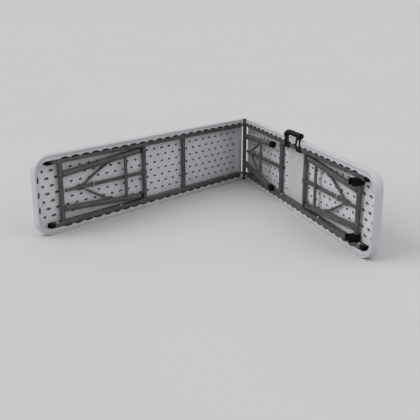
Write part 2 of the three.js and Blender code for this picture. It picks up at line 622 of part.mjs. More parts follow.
const outerPivot = new THREE.Vector2(PIVOT_AT, -PIVOT_DROP);
const outerLeg = {
  length: OUTER_LEG_LENGTH, barAt: OUTER_BAR_AT, forkAt: OUTER_FORK_AT, ringAt: RING_AT,
  pivotHalf: RAIL_IN + PIVOT_END, tail: OUTER_BRACE_TAIL,
  foot: { radius: FOOT_RADIUS, length: FOOT_LENGTH }, extras: [],
};
const clips = [['upper', -1], ['lower', 1]].map(([place, side]) =>
  mesh(`closure_clip_${place}`, clipGeometry(side * CLIP_AT), blackPlastic));
const axleCaps = [['upper', 1], ['lower', -1]].map(([place, side]) =>
  mesh(`hinge_axle_cap_${place}`, axleCapGeometry(side), blackPlastic));
const middleLeg = {
  length: MIDDLE_LEG_LENGTH, barAt: MIDDLE_BAR_AT, forkAt: MIDDLE_FORK_AT, ringAt: MIDDLE_RING_AT,
  pivotHalf: AXLE_HALF, tail: MIDDLE_BRACE_TAIL,
  foot: { radius: MIDDLE_FOOT_RADIUS, length: MIDDLE_FOOT_LENGTH }, extras: axleCaps,
};
const label = mesh('blank_label', block(LABEL_AT - LABEL_LENGTH / 2, LABEL_AT + LABEL_LENGTH / 2,
  -LABEL_WIDTH / 2, LABEL_WIDTH / 2, FLOOR_Z + GAP, FLOOR_Z + GAP + LABEL_THICKNESS), labelPaper);

const table = new THREE.Group();
table.add(
  stood(-1, halfGroup('left', -1, LEFT_KNUCKLE_AT),
    legSet('left', outerLeg, -1, outerPivot, ANCHOR_CROSSBAR_AT, 0, -1)),
  stood(1, halfGroup('right', 1, RIGHT_KNUCKLE_AT), label, handleGroup(),
    legSet('right', { ...outerLeg, extras: clips }, -1, outerPivot, ANCHOR_CROSSBAR_AT, 0, 1),
    legSet('middle', middleLeg, 1, new THREE.Vector2(0, 0), MIDDLE_CROSSBAR_AT, MIDDLE_SWING * RAD, 1)),
);

const bounds = new THREE.Box3().setFromObject(table, true);
const centre = bounds.getCenter(new THREE.Vector3());
table.position.set(-centre.x, -centre.y, -bounds.min.z);

export default table;
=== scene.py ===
"""A fold-in-half bench table on its long edge, half open. Built in millimetres in each part's own frame."""
import json
import math
import random

import bmesh
import bpy
import numpy as np
from mathutils import Matrix, Vector


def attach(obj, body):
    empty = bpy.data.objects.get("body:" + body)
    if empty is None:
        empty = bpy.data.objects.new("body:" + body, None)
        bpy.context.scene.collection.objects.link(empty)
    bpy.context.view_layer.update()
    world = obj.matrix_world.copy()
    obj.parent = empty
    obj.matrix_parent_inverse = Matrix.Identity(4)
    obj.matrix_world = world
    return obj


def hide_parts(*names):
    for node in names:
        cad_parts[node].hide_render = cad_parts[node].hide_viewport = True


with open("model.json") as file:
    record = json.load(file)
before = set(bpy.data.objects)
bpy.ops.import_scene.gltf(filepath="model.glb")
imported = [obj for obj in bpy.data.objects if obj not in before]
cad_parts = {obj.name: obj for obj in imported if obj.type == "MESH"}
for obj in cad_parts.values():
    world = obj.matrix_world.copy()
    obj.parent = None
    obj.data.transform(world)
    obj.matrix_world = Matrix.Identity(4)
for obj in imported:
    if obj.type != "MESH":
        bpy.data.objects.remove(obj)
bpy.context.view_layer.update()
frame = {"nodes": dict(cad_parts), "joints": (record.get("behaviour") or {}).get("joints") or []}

MM = 0.001
UP = Vector((0, 0, 1))
JOINTS = {j["name"]: j for j in frame["joints"]}
OPEN_ANGLE = -JOINTS["table_fold"]["range_deg"][0]
HALF_OPEN = math.radians(OPEN_ANGLE / 2)
HINGE = Vector(JOINTS["table_fold"]["pos_m"])

# ---- sizes shared with the CAD part, in millimetres ----
HALF_LENGTH = 1202
WIDTH = 305
THICKNESS = 38
CORNER_RADIUS = 60
HINGE_CORNER = 8
RECESS_CORNER = 44
TOP_EDGE_RADIUS = 12
RIM, END_RIM = 23, 12
FLOOR_Z = -29.0
RIM_Z = -0.4
HINGE_GAP = 4
BORDER_END = 25.5
BORDER_Z = -14.5
RIM_SETBACK = 16
RAIL_START, RAIL_END = 26, 1126
RAIL_IN, RAIL_OUT = 113.2, 129.2
RAIL_LOW, RAIL_TOP = -28.7, -2.7
CROSSBAR_Z = -16
CROSSBAR_RADIUS = 9
CROSSBARS = (("middle_crossbar", 418), ("anchor_crossbar", 657))
PIVOT_RADIUS = 9.5
LEG_RADIUS = 12
SPREAD_TOP, SPREAD_FOOT = 66.5, 98
FEET = {"left": (13, 10), "right": (13, 10), "middle": (14.5, 22)}  # radius and length of a foot cap
MIDDLE_SWING = math.radians(2)
BRACE_TAIL = {"left": 68, "right": 68, "middle": 42}
BRACE_HALF = 7
CLIP_AT = 100.5
HANDLE_AT = 561
GRIP_STANDOFF, GRIP_HALF = 23.5, 73.5
ARM_INNER, ARM_OUTER = 24, 79
ELBOW_START, ELBOW_SIDE, ELBOW_CLEAR = 18, 66, 3.4
KNUCKLES_AT, KNUCKLE_WIDTH = {"left": 115.1, "right": 121.3}, 5.8
OUTER_LEG, OUTER_BAR_AT, OUTER_PIVOT_HALF = 406, 316, 125.2
MIDDLE_LEG, MIDDLE_BAR_AT, AXLE_HALF = 392, 256, 145.5
LABEL_AT, LABEL_LENGTH, LABEL_WIDTH = 553, 184, 214
FINGER_CUT_DEPTH, FINGER_CUT_FLOOR, FINGER_CUT_MOUTH = 16, 75, 90
NOTCH_PLAY, NOTCH_FLOOR = 1.5, -2.35


class Frame:
    """A place with its own millimetre axes: x along, y across and z out of the underside."""

    def __init__(self, origin, along, out):
        self.o, self.x, self.z = Vector(origin), Vector(along).normalized(), Vector(out).normalized()
        self.y = UP

    def at(self, x, y, z):
        return self.o + (self.x * x + self.y * y + self.z * z) * MM

    def turned(self, origin, along):
        """The frame of a link in the same plane: z is square to it, on the underside's side."""
        along = Vector(along).normalized()
        out = UP.cross(along)
        return Frame(origin, along, out if out.dot(self.z) > 0 or abs(out.dot(self.z)) < 1e-6 else -out)


def half_frame(way):
    along = Vector((way * math.sin(HALF_OPEN), -math.cos(HALF_OPEN), 0))
    out = Vector((-way * math.cos(HALF_OPEN), -math.sin(HALF_OPEN), 0))
    return Frame(HINGE, along, out)


HALF = {"left": half_frame(-1), "right": half_frame(1)}


# ---- mesh building ----
class Build:
    """Collects closed skins in one mesh."""

    def __init__(self, place):
        self.place, self.verts, self.faces = place, [], []

    def add(self, verts, faces):
        start = len(self.verts)
        self.verts += [self.place.at(*v) for v in verts]
        self.faces += [[start + i for i in f] for f in faces]
        return self

    def loft(self, rings, caps=True, closed=False):
        """Skin over rings of as many points each. closed joins the last ring to the first."""
        n, verts, faces = len(rings[0]), [p for r in rings for p in r], []
        spans = len(rings) if closed else len(rings) - 1
        for k in range(spans):
            a, b = k * n, (k + 1) % len(rings) * n
            faces += [[a + i, a + (i + 1) % n, b + (i + 1) % n, b + i] for i in range(n)]
        if caps and not closed:
            faces += [list(range(n))[::-1], [(len(rings) - 1) * n + i for i in range(n)]]
        return self.add(verts, faces)

    def tube(self, path, section, caps=True, up=(0, 0, 1)):
        """Sweeps section, a function of the share of the path giving (side, up) points, along path."""
        pts = [Vector(p) for p in path]
        rings = []
        for i, p in enumerate(pts):
            t = (pts[min(i + 1, len(pts) - 1)] - pts[max(i - 1, 0)]).normalized()
            side = t.cross(Vector(up)).normalized()
            top = side.cross(t)
            share = i / max(1, len(pts) - 1)
            rings.append([tuple(p + side * u + top * v) for u, v in section(share, i)])
        return self.loft(rings, caps)

    def pipe(self, a, b, radius, sides=28, wall=0.0, edge=0.6, up=(0, 0, 1)):
        """A straight round tube with soft edges, hollow at both ends if it has a wall."""
        a, b = Vector(a), Vector(b)
        t = (b - a).normalized()
        length = (b - a).length
        profile = [(0, radius - edge), (edge * 0.3, radius - edge * 0.3), (edge, radius),
                   (length - edge, radius), (length - edge * 0.3, radius - edge * 0.3), (length, radius - edge)]
        if wall:
            depth = min(length / 2 - 1, 14)
            profile = [(depth, 0.01), (depth, radius - wall), (0, radius - wall)] + profile
            profile += [(length, radius - wall), (length - depth, radius - wall), (length - depth, 0.01)]
        return self.lathe(a, t, profile, sides, up)

    def lathe(self, origin, axis, profile, sides=28, up=(0, 0, 1)):
        origin, axis = Vector(origin), Vector(axis).normalized()
        u = axis.cross(Vector(up))
        u = u.normalized() if u.length > 1e-4 else axis.cross(Vector((1, 0, 0))).normalized()
        v = axis.cross(u)
        rings = []
        for along, radius in profile:
            rings.append([tuple(origin + axis * along
                                + (u * math.cos(a) + v * math.sin(a)) * max(radius, 0.01))
                          for a in (2 * math.pi * k / sides for k in range(sides))])
        return self.loft(rings)

    def done(self, name, look, body, slot, replaces=(), angle=35):
        mesh = bpy.data.meshes.new(name)
        mesh.from_pydata([tuple(v) for v in self.verts], [], self.faces)
        bm = bmesh.new()
        bm.from_mesh(mesh)
        bmesh.ops.recalc_face_normals(bm, faces=bm.faces)
        bm.to_mesh(mesh)
        bm.free()
        piece = bpy.data.objects.new(name, mesh)
        bpy.context.scene.collection.objects.link(piece)
        return finished(piece, look, body, replaces, angle)


def finished(piece, look, body, replaces=(), angle=35):
    piece.data.materials.clear()
    piece.data.materials.append(look)
    piece.data.shade_smooth()
    piece.data.set_sharp_from_angle(angle=math.radians(angle))
    normals = piece.modifiers.new("normals", "WEIGHTED_NORMAL")
    normals.keep_sharp = True
    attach(piece, body)
    if replaces:
        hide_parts(*replaces)
    return piece


def rounded_rect(half_w, half_h, r, steps=4):
    """Points of a rounded rectangle about (0, 0)."""
    pts = []
    for cx, cy, a0 in ((half_w - r, half_h - r, 0), (-half_w + r, half_h - r, 90),
                       (-half_w + r, -half_h + r, 180), (half_w - r, -half_h + r, 270)):
        for k in range(steps + 1):
            a = math.radians(a0 + 90 * k / steps)
            pts.append((cx + r * math.cos(a), cy + r * math.sin(a)))
    return pts


def top_outline(inset, steps=14):
    """Outline of a half top in x and y, inset from its outer size."""
    x0, x1, w = HINGE_GAP + inset, HALF_LENGTH - inset, WIDTH / 2 - inset
    r0, r1 = max(HINGE_CORNER - inset, 1.0), CORNER_RADIUS - inset
    pts = []
    for cx, cy, r, a0 in ((x1 - r1, -w + r1, r1, -90), (x1 - r1, w - r1, r1, 0),
                          (x0 + r0, w - r0, r0, 90), (x0 + r0, -w + r0, r0, 180)):
        for k in range(steps + 1):
            a = math.radians(a0 + 90 * k / steps)
            pts.append((cx + r * math.cos(a), cy + r * math.sin(a)))
    return pts


def offset(outline, distance):
    """Moves a counter-clockwise outline outward."""
    n, moved = len(outline), []
    for i, (x, y) in enumerate(outline):
        (px, py), (qx, qy) = outline[i - 1], outline[(i + 1) % n]
        tx, ty = qx - px, qy - py
        size = math.hypot(tx, ty) or 1
        moved.append((x + ty / size * distance, y - tx / size * distance))
    return moved


# ---- the moulded half tops ----
SCALLOP_PITCH, SCALLOP_START = 49, 14.5
SCALLOP_DEPTH = 5.5
COLUMN_PITCH = 22.1
ROW_PITCH = 58.5
DIMPLE, END_DIMPLE = (8.0, 4.4), (11.0, 5.2)


def scallop(x):
    """How far the recess bites into the rim at x: round pockets with narrow lands between."""
    phase = ((x - SCALLOP_START) / SCALLOP_PITCH) % 1.0
    d = abs(phase - 0.5) / 0.36
    return SCALLOP_DEPTH * math.sqrt(max(0.0, 1 - d * d)) ** 0.8 if d < 1 else 0.0


def recess_outline():
    side, end, r = WIDTH / 2 - RIM, HALF_LENGTH - END_RIM, RECESS_CORNER
    last = end - r - 8
    count = int((last - RAIL_START) / 2.5)
    wave = [RAIL_START + (last - RAIL_START) * i / count for i in range(count + 1)]
    stop = SCALLOP_START + SCALLOP_PITCH * int((last - SCALLOP_START) / SCALLOP_PITCH)
    bite = [scallop(x) if x < stop else 0.0 for x in wave]
    pts = [(BORDER_END, -side)]
    pts += [(x, -side - b) for x, b in zip(wave, bite)]
    for cy, a0 in ((-side + r, -90), (side - r, 0)):
        pts += [(end - r + r * math.cos(math.radians(a0 + 90 * k / 12)),
                 cy + r * math.sin(math.radians(a0 + 90 * k / 12))) for k in range(13)]
    pts += [(x, side + b) for x, b in zip(wave[::-1], bite[::-1])]
    pts.append((BORDER_END, side))
    return pts


def oval(cx, cy, a, b, n=16):
    return [(cx + a * math.cos(2 * math.pi * k / n), cy + b * math.sin(2 * math.pi * k / n)) for k in range(n)]


def dimple_places():
    """Oval pockets in staggered columns; small ones and three upright slots by the outer end."""
    places = []
    column, x = 0, 1135.5
    while x > 45:
        size = END_DIMPLE if x > 1080 else DIMPLE
        shares = (-1.5, -0.5, 0.5, 1.5) if column % 2 else (-1, 0, 1)
        places += [(x, share * ROW_PITCH, *size) for share in shares]
        x -= COLUMN_PITCH
        column += 1
    places += [(1154, y, 6.0, 5.6) for y in (-88, -30, 30, 88)]
    places += [(1174, y, 4.4, 13.0) for y in (-58, 0, 58)]
    return places


def recess_tool():
    """The hollow that is cut out of a half top, with a peg for each pocket in its floor."""
    outline = recess_outline()
    bm = bmesh.new()

    def ring(points, z):
        return [bm.verts.new((x, y, z)) for x, y in points]

    def skin(a, b):
        for i in range(len(a)):
            bm.faces.new((a[i], a[(i + 1) % len(a)], b[(i + 1) % len(b)], b[i]))

    profile = [(-3.0, FLOOR_Z), (-1.2, FLOOR_Z + 0.7), (-0.3, FLOOR_Z + 2.0), (0.0, FLOOR_Z + 4.0),
               (0.6, -2.6), (1.0, -1.3), (2.2, RIM_Z), (3.0, 6.0)]
    layers = [ring(offset(outline, d), z) for d, z in profile]
    for a, b in zip(layers, layers[1:]):
        skin(a, b)
    bm.faces.new(layers[-1])
    loops = [layers[0]]
    for cx, cy, a, b in dimple_places():
        rings = [ring(oval(cx, cy, a + g, b + g), z) for g, z in
                 ((0.8, FLOOR_Z), (0.25, FLOOR_Z - 0.25), (0.0, FLOOR_Z - 0.9),
                  (-0.5, FLOOR_Z - 6.8), (-1.4, FLOOR_Z - 7.6))]
        for p, q in zip(rings, rings[1:]):
            skin(p, q)
        bm.faces.new(rings[-1])
        loops.append(rings[0])
    edges = [bm.edges.get((loop[i], loop[(i + 1) % len(loop)])) for loop in loops for i in range(len(loop))]
    bmesh.ops.triangle_fill(bm, use_beauty=True, use_dissolve=False, edges=edges, normal=(0, 0, -1))
    bmesh.ops.recalc_face_normals(bm, faces=bm.faces)
    return to_object(bm, "recess_tool")


def to_object(bm, name):
    bmesh.ops.triangulate(bm, faces=[f for f in bm.faces if len(f.verts) > 4])
    mesh = bpy.data.meshes.new(name)
    bm.to_mesh(mesh)
    bm.free()
    made = bpy.data.objects.new(name, mesh)
    bpy.context.scene.collection.objects.link(made)
    return made


def lofted(name, layers):
    bm = bmesh.new()
    rings = [[bm.verts.new((x, y, z)) for x, y in points] for z, points in layers]
    for a, b in zip(rings, rings[1:]):
        for i in range(len(a)):
            bm.faces.new((a[i], a[(i + 1) % len(a)], b[(i + 1) % len(b)], b[i]))
    bm.faces.new(rings[0])
    bm.faces.new(rings[-1])
    bmesh.ops.recalc_face_normals(bm, faces=bm.faces)
    return to_object(bm, name)


def tool_box(name, x0, x1, y0, y1, z0, z1, r=1.0):
    """A box tool with its upright edges rounded."""
    cx, cy = (x0 + x1) / 2, (y0 + y1) / 2
    outline = [(cx + u, cy + v) for u, v in rounded_rect((x1 - x0) / 2, (y1 - y0) / 2, r, 3)]
    return lofted(name, [(z0, outline), (z1, outline)])


def groove_tool(near, far, depth):
    """A ring tool for the fine groove along the rim, between two insets from its outer edge."""
    bm = bmesh.new()
    rings = [[bm.verts.new((x, y, z)) for x, y in top_outline(inset)]
             for inset, z in ((near, 5), (near + 0.3, -depth), (far - 0.3, -depth), (far, 5))]
    for a, b in zip(rings, rings[1:] + rings[:1]):
        for i in range(len(a)):
            bm.faces.new((a[i], a[(i + 1) % len(a)], b[(i + 1) % len(b)], b[i]))
    bmesh.ops.recalc_face_normals(bm, faces=bm.faces)
    return to_object(bm, "groove_tool")


def cut(body, tool):
    """Takes tool out of body."""
    change = body.modifiers.new("cut", "BOOLEAN")
    change.operation, change.object, change.solver = "DIFFERENCE", tool, "MANIFOLD"
    dg = bpy.context.evaluated_depsgraph_get()
    mesh = bpy.data.meshes.new_from_object(body.evaluated_get(dg))
    body.modifiers.clear()
    body.data = mesh
    bpy.data.objects.remove(tool)


def shell(half):
    place = HALF[half]
    steps, layers = 9, []
    for i in range(steps + 1):
        turn = i / steps * math.pi / 2
        layers.append((TOP_EDGE_RADIUS * (1 - math.cos(turn)) - THICKNESS,
                       top_outline(TOP_EDGE_RADIUS * (1 - math.sin(turn)))))
    for z, inset in ((-12.8, 0), (-12.4, -0.35), (-11.9, -0.35), (-11.5, 0),
                     (-2.6, 0), (-1.2, 0.4), (-0.6, 1.2), (RIM_Z, 2.2)):
        layers.append((z, top_outline(inset)))
    body = lofted(f"{half}_shell", layers)
    cut(body, recess_tool())
    far = WIDTH
    cut(body, tool_box("t", -40, RIM_SETBACK, -far, far, BORDER_Z, 20, r=2))
    inner = WIDTH / 2 - RIM
    cut(body, tool_box("t", -20, BORDER_END + 6, -inner, inner, BORDER_Z, 20, r=4))
    end = HALF_LENGTH - END_RIM
    cut(body, lofted("t", [(z, [(end - 5, -w), (end + 9.4, -w), (end + 9.4, w), (end - 5, w)])
                           for z, w in ((-FINGER_CUT_DEPTH, FINGER_CUT_FLOOR), (8, FINGER_CUT_MOUTH))]))
    cut(body, groove_tool(7.0, 9.6, 2.4))
    for arm in (-1, 1):
        near, beyond = sorted(HANDLE_AT + arm * reach
                              for reach in (ARM_INNER - NOTCH_PLAY, ARM_OUTER + NOTCH_PLAY))
        for side in (-1, 1):
            y0, y1 = sorted((side * 100, side * far))
            cut(body, tool_box("t", near, beyond, y0, y1, NOTCH_FLOOR, 20, r=1.5))
    finished(body, SHELL, f"{half}_half", [f"{half}_tabletop"], angle=32)
    # Slot 1 is painted shade: the same granite darkened in the pockets and behind the rails.
    body.data.materials.append(SHELL_PAINTED_SHADE)
    # Slot 2 is painted light: the same granite lightened on the recess floor.
    body.data.materials.append(SHELL_PAINTED_LIGHT)
    for face in body.data.polygons:
        face.material_index = painted_light_zone(face.center, face.normal)
    body.data.transform(frame_matrix(place))
    return body


def painted_light_zone(c, normal):
    """Which look a face of a half has: 1, a painted shade, in pockets and scallops, 2, a painted light, on the
    recess floor and 0 elsewhere.
    """
    in_pocket = 30 < c.x < 1182 and abs(c.y) < 120 and -37 < c.z < FLOOR_Z - 0.8
    behind_rail = RAIL_OUT < abs(c.y) < 137 and -34 < c.z < -1.6 and c.x < RAIL_END and abs(normal.z) < 0.5
    # Faces deep in the pockets and behind the rails get the painted shade.
    if in_pocket or behind_rail:
        return 1
    # Upward faces of the recess floor get the painted light.
    return 2 if normal.z > 0.6 and c.z < BORDER_Z + 2 else 0


def frame_matrix(place):
    cols = [place.x * MM, place.y * MM, place.z * MM, place.o]
    return Matrix([[cols[c][r] for c in range(4)] for r in range(3)] + [[0, 0, 0, 1]])


# ---- looks ----
def node_look(name):
    look = bpy.data.materials.new(name)
    look.use_nodes = True
    nodes, links = look.node_tree.nodes, look.node_tree.links
    nodes.clear()
    out = nodes.new("ShaderNodeOutputMaterial")
    bsdf = nodes.new("ShaderNodeBsdfPrincipled")
    links.new(bsdf.outputs[0], out.inputs[0])
    place = nodes.new("ShaderNodeTexCoord")
    return look, nodes, links, bsdf, place.outputs["Object"]


def noise(nodes, links, where, scale, detail=3.0, rough=0.55, distortion=0.0):
    n = nodes.new("ShaderNodeTexNoise")
    n.inputs["Scale"].default_value = scale
    n.inputs["Detail"].default_value = detail
    n.inputs["Roughness"].default_value = rough
    n.inputs["Distortion"].default_value = distortion
    links.new(where, n.inputs["Vector"])
    return n.outputs["Fac"]


def ramp(nodes, links, value, stops):
    r = nodes.new("ShaderNodeValToRGB")
    while len(r.color_ramp.elements) < len(stops):
        r.color_ramp.elements.new(0.5)
    for e, (at, colour) in zip(r.color_ramp.elements, stops):
        e.position = at
        e.color = (*colour, 1) if len(colour) == 3 else colour
    links.new(value, r.inputs[0])
    return r.outputs[0]


def mix(nodes, links, kind, factor, a, b):
    m = nodes.new("ShaderNodeMix")
    m.data_type, m.blend_type = "RGBA", kind
    for socket, value in ((m.inputs[0], factor), (m.inputs[6], a), (m.inputs[7], b)):
        if isinstance(value, (int, float)):
            socket.default_value = value
        elif isinstance(value, tuple):
            socket.default_value = (*value, 1)
        else:
            links.new(value, socket)
    return m.outputs[2]


def bump(nodes, links, heights):
    """Chains bumps: (height, strength, distance in metres)."""
    normal = None
    for height, strength, distance in heights:
        b = nodes.new("ShaderNodeBump")
        b.inputs["Strength"].default_value = strength
        b.inputs["Distance"].default_value = distance
        links.new(height, b.inputs["Height"])
        if normal is not None:
            links.new(normal, b.inputs["Normal"])
        normal = b.outputs[0]
    return normal


def grey(v, tint=(1, 1, 1)):
    return tuple(v * t for t in tint)


def shell_look(name="granite_plastic", shade=1.0):
    look, nodes, links, bsdf, where = node_look(name)
    speck = noise(nodes, links, where, 620, 2.0, 0.6)
    cloud = noise(nodes, links, where, 9, 3.0, 0.5)
    pebble = noise(nodes, links, where, 1500, 2.0, 0.5)
    wave = noise(nodes, links, where, 38, 2.0, 0.5, 0.6)
    base = ramp(nodes, links, speck,
                [(0.30, SHELL_DARK), (0.43, SHELL_MID), (0.60, SHELL_MID), (0.72, SHELL_LIGHT)])
    tone = ramp(nodes, links, cloud, [(0.35, grey(0.93 * shade)), (0.65, grey(shade))])
    colour = mix(nodes, links, "MULTIPLY", 1.0, base, tone)
    links.new(colour, bsdf.inputs["Base Color"])
    rough = ramp(nodes, links, cloud, [(0.3, grey(0.46)), (0.7, grey(0.58))])
    links.new(rough, bsdf.inputs["Roughness"])
    normal = bump(nodes, links, [(pebble, 0.35, 0.0003), (wave, 0.18, 0.0012)])
    links.new(normal, bsdf.inputs["Normal"])
    return look


def steel_look():
    look, nodes, links, bsdf, where = node_look("hammered_enamel")
    cells = nodes.new("ShaderNodeTexVoronoi")
    cells.feature = "SMOOTH_F1"
    cells.inputs["Scale"].default_value = 420
    links.new(where, cells.inputs["Vector"])
    cloud = noise(nodes, links, where, 25, 4.0, 0.6)
    fine = noise(nodes, links, where, 900, 2.0, 0.6)
    base = ramp(nodes, links, cloud, [(0.30, STEEL_DARK), (0.62, STEEL_MID), (0.80, STEEL_LIGHT)])
    flake = ramp(nodes, links, fine, [(0.35, grey(0.85)), (0.60, grey(1.0)), (0.75, grey(1.25))])
    colour = mix(nodes, links, "MULTIPLY", 1.0, base, flake)
    links.new(colour, bsdf.inputs["Base Color"])
    rough = ramp(nodes, links, cloud, [(0.3, grey(0.34)), (0.7, grey(0.46))])
    links.new(rough, bsdf.inputs["Roughness"])
    bsdf.inputs["Metallic"].default_value = 0.25
    normal = bump(nodes, links, [(cells.outputs["Distance"], 0.30, 0.0006), (fine, 0.10, 0.0003)])
    links.new(normal, bsdf.inputs["Normal"])
    return look


def black_look():
    look, nodes, links, bsdf, where = node_look("black_plastic")
    grain = noise(nodes, links, where, 1400, 3.0, 0.6)
    cloud = noise(nodes, links, where, 60, 3.0, 0.5)
    base = ramp(nodes, links, cloud, [(0.3, grey(0.003)), (0.7, grey(0.006))])
    links.new(base, bsdf.inputs["Base Color"])
    rough = ramp(nodes, links, cloud, [(0.3, grey(0.38)), (0.7, grey(0.55))])
    links.new(rough, bsdf.inputs["Roughness"])
    bsdf.inputs["Specular IOR Level"].default_value = 0.12
    links.new(bump(nodes, links, [(grain, 0.3, 0.0003)]), bsdf.inputs["Normal"])
    return look


def zinc_look():
    look, nodes, links, bsdf, where = node_look("bright_zinc")
    cloud = noise(nodes, links, where, 180, 3.0, 0.6)
    base = ramp(nodes, links, cloud, [(0.3, grey(0.50)), (0.7, grey(0.72, (1.0, 1.0, 0.97)))])
    links.new(base, bsdf.inputs["Base Color"])
    rough = ramp(nodes, links, cloud, [(0.3, grey(0.20)), (0.7, grey(0.38))])
    links.new(rough, bsdf.inputs["Roughness"])
    bsdf.inputs["Metallic"].default_value = 1.0
    links.new(bump(nodes, links, [(cloud, 0.15, 0.0003)]), bsdf.inputs["Normal"])
    return look


def paper_look():
    look, nodes, links, bsdf, where = node_look("label_paper")
    fibre = noise(nodes, links, where, 1800, 4.0, 0.7)
    cloud = noise(nodes, links, where, 22, 4.0, 0.6)
    base = ramp(nodes, links, cloud, [(0.3, grey(0.50)), (0.7, grey(0.57))])
    links.new(base, bsdf.inputs["Base Color"])
    rough = ramp(nodes, links, cloud, [(0.3, grey(0.45)), (0.7, grey(0.6))])
    links.new(rough, bsdf.inputs["Roughness"])
    links.new(bump(nodes, links, [(fibre, 0.15, 0.0002), (cloud, 0.25, 0.002)]), bsdf.inputs["Normal"])
    return look


SHELL_DARK = grey(0.36, (0.97, 1, 1.05))
SHELL_MID = grey(0.56, (0.98, 1, 1.04))
SHELL_LIGHT = grey(0.72, (0.98, 1, 1.03))
STEEL_TINT = (1, 0.99, 0.96)
STEEL_DARK, STEEL_MID, STEEL_LIGHT = grey(0.060), grey(0.108, STEEL_TINT), grey(0.165, STEEL_TINT)
# Painted shade: the same granite darkened to 0.40 for the pockets and the gaps behind the rails.
SHELL_PAINTED_SHADE = shell_look("granite_plastic_painted_shade", 0.40)
# Painted light: the same granite lightened to 1.22 for the recess floor.
SHELL_PAINTED_LIGHT = shell_look("granite_plastic_painted_light", 1.22)
SHELL, STEEL, BLACK, ZINC, PAPER = shell_look(), steel_look(), black_look(), zinc_look(), paper_look()


# ---- steel under a half ----
def screw_head(build, x, side, turn):
    """A pan head with a cross recess, on the inner face of a rail."""
    sides, rings, radius, height = 32, 9, 5.2, 2.4

    def at(u, v, h):
        return (x + u, side * (RAIL_IN - h), SCREW_Z + v)
    layers = [[at(radius * math.cos(a), radius * math.sin(a), -0.3)
               for a in (2 * math.pi * s / sides for s in range(sides))]]
    for k in range(rings):
        share = 1 - k / rings
        dome = height * (1 - share ** 4) ** 0.5
        layer = []
        for s in range(sides):
            a = 2 * math.pi * s / sides
            r = radius * share
            u, v = abs(r * math.cos(a - turn)), abs(r * math.sin(a - turn))
            deep = 1.3 if min(u, v) < 0.75 and max(u, v) < radius * 0.58 else 0.0
            layer.append(at(r * math.cos(a), r * math.sin(a), max(dome - deep, 0.1 if k else 0)))
        layers.append(layer)
    layers.append([at(0.02 * math.cos(a), 0.02 * math.sin(a), height - 1.3)
                   for a in (2 * math.pi * s / sides for s in range(sides))])
    build.loft(layers)


def rail(half, side, name):
    build = Build(HALF[half])
    y, z = side * (RAIL_IN + RAIL_OUT) / 2, (RAIL_LOW + RAIL_TOP) / 2
    w, h = (RAIL_OUT - RAIL_IN) / 2, (RAIL_TOP - RAIL_LOW) / 2
    outer, inner = rounded_rect(w, h, 2.8, 5), rounded_rect(w - 1.5, h - 1.5, 1.5, 5)

    def ring(section, x, grow=0.0):
        return [(x, y + u * (1 + grow), z + v * (1 + grow)) for u, v in section]
    rings = [ring(inner, RAIL_START + 30), ring(inner, RAIL_START), ring(outer, RAIL_START, -0.02),
             ring(outer, RAIL_START + 0.4)]
    count = 24
    rings += [ring(outer, RAIL_START + (RAIL_END - RAIL_START) * k / count) for k in range(1, count)]
    rings += [ring(outer, RAIL_END - 0.4), ring(outer, RAIL_END, -0.02), ring(inner, RAIL_END),
              ring(inner, RAIL_END - 25)]
    build.loft(rings)
    return build.done(f"{half}_rail_{name}_tube", STEEL, f"{half}_half", "steel", [f"{half}_rail_{name}"])


def rail_plug(half, side, name):
    """A black end plug with a tongue, a flange and a slightly hollow face."""
    build = Build(HALF[half])
    y, z = side * (RAIL_IN + RAIL_OUT) / 2, (RAIL_LOW + RAIL_TOP) / 2
    w, h = (RAIL_OUT - RAIL_IN) / 2, (RAIL_TOP - RAIL_LOW) / 2
    start = RAIL_END + 0.3
    stations = [(-17, 2.6, 1), (-16, 1.9, 1.6), (-1, 1.9, 1.6), (-0.6, 1.9, 1.6), (0, 0.3, 1.8),
                (0.4, 0.0, 2.0), (3.0, 0.0, 2.0), (3.3, 0.5, 1.8), (4.2, 0.5, 1.8), (4.5, 0.0, 2.0),
                (18.6, 0.0, 2.0), (19.4, 0.4, 1.9), (19.7, 1.1, 1.8), (19.7, 2.4, 1.6), (19.2, 2.9, 1.5),
                (8, 3.4, 1.5), (8, 6, 1.5)]
    rings = [[(start + x, y + u, z + v) for u, v in rounded_rect(w - inset, h - inset, r, 5)]
             for x, inset, r in stations]
    build.loft(rings)
    return build.done(f"{half}_rail_end_plug_{name}", BLACK, f"{half}_half", "black",
                      [f"{half}_rail_plug_{name}"])


def crossbar(half, node, x):
    build = Build(HALF[half])
    reach = RAIL_IN - 0.2
    build.pipe((x, -reach, CROSSBAR_Z), (x, reach, CROSSBAR_Z), CROSSBAR_RADIUS, 32, edge=0.4, up=(1, 0, 0))
    for side in (-1, 1):
        weld_ring(build, (x, side * (RAIL_IN - 1.2), CROSSBAR_Z), (0, 1, 0), CROSSBAR_RADIUS + 0.4, 1.5)
    return build.done(f"{half}_{node}_bar", STEEL, f"{half}_half", "steel", [f"{half}_{node}"])


def weld_ring(build, centre, axis, radius, bead, seed=1):
    """A weld bead round a joint: a lumpy ring."""
    rng = random.Random(seed)
    axis = Vector(axis).normalized()
    u = axis.cross(Vector((0.3, 0.9, 0.2))).normalized()
    v = axis.cross(u)
    sides, around = 40, 8
    rings = []
    for k in range(sides):
        a = 2 * math.pi * k / sides
        out = u * math.cos(a) + v * math.sin(a)
        size = bead * (0.85 + 0.3 * abs(math.sin(a * 9)) + 0.1 * rng.random())
        c = Vector(centre) + out * (radius - 0.2)
        rings.append([tuple(c + (out * math.cos(b) + axis * math.sin(b)) * size)
                      for b in (2 * math.pi * j / around for j in range(around))])
    build.loft(rings, closed=True)


